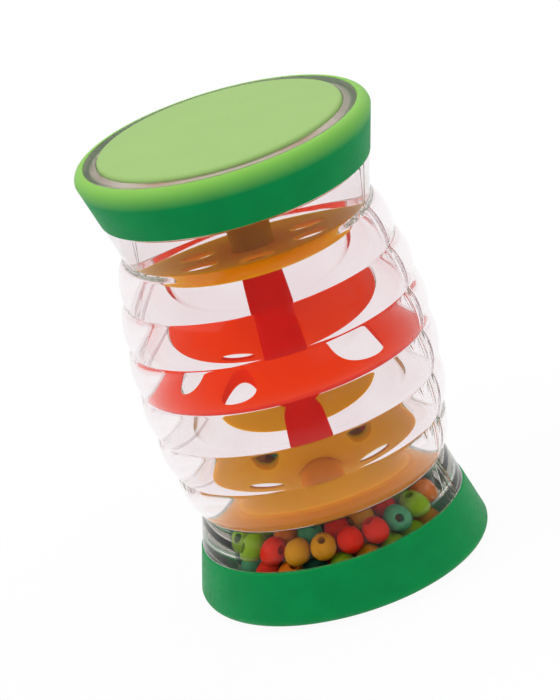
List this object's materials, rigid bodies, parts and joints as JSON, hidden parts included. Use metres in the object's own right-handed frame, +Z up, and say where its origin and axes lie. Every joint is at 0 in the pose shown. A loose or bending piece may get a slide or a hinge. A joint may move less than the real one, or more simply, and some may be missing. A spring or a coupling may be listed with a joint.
{
  "type": "tube shaker",
  "caption": "Hand-held tube shaker: a clear ribbed barrel with green grip rings, and beads that trickle through trays on a central column.",
  "frame": {"origin": "centre of the lower end pad's outer face", "axes": "+Z up along the barrel's axis; the seam between the two halves lies in the XZ plane"},
  "size_m": [0.082, 0.082, 0.13],
  "materials": {
    "clear_shell": "clear, moulded, polished",
    "grip_ring": "satin",
    "end_pad": "fine matte",
    "orange_tray": "glossy",
    "red_tray": "glossy",
    "red_bead": "satin",
    "orange_bead": "satin",
    "ochre_bead": "satin",
    "lime_bead": "satin",
    "teal_bead": "satin",
    "green_bead": "satin"
  },
  "bodies": {
    "shaker": {"front_shell": "clear_shell", "rear_shell": "clear_shell", "top_grip_ring": "grip_ring", "bottom_grip_ring": "grip_ring", "top_end_pad": "end_pad", "bottom_end_pad": "end_pad", "upper_tray": "orange_tray", "middle_tray": "red_tray", "lower_tray": "orange_tray"},
    "bead_bed": {"red_bed_beads": "red_bead", "orange_bed_beads": "orange_bead", "ochre_bed_beads": "ochre_bead", "lime_bed_beads": "lime_bead", "teal_bed_beads": "teal_bead", "green_bed_beads": "green_bead"},
    "bead_top_layer": {"red_top_beads": "red_bead", "orange_top_beads": "orange_bead", "ochre_top_beads": "ochre_bead", "lime_top_beads": "lime_bead", "teal_top_beads": "teal_bead", "green_top_beads": "green_bead"}
  },
  "joints": [
    {"name": "bead_swirl", "type": "hinge", "parent": "shaker", "child": "bead_bed", "pos_m": [0, 0, 0.01], "axis": [0, 0, 1], "continuous": true},
    {"name": "bead_hop", "type": "slide", "parent": "bead_bed", "child": "bead_top_layer", "axis": [0, 0, 1], "range_m": [0, 0.005]}
  ]
}
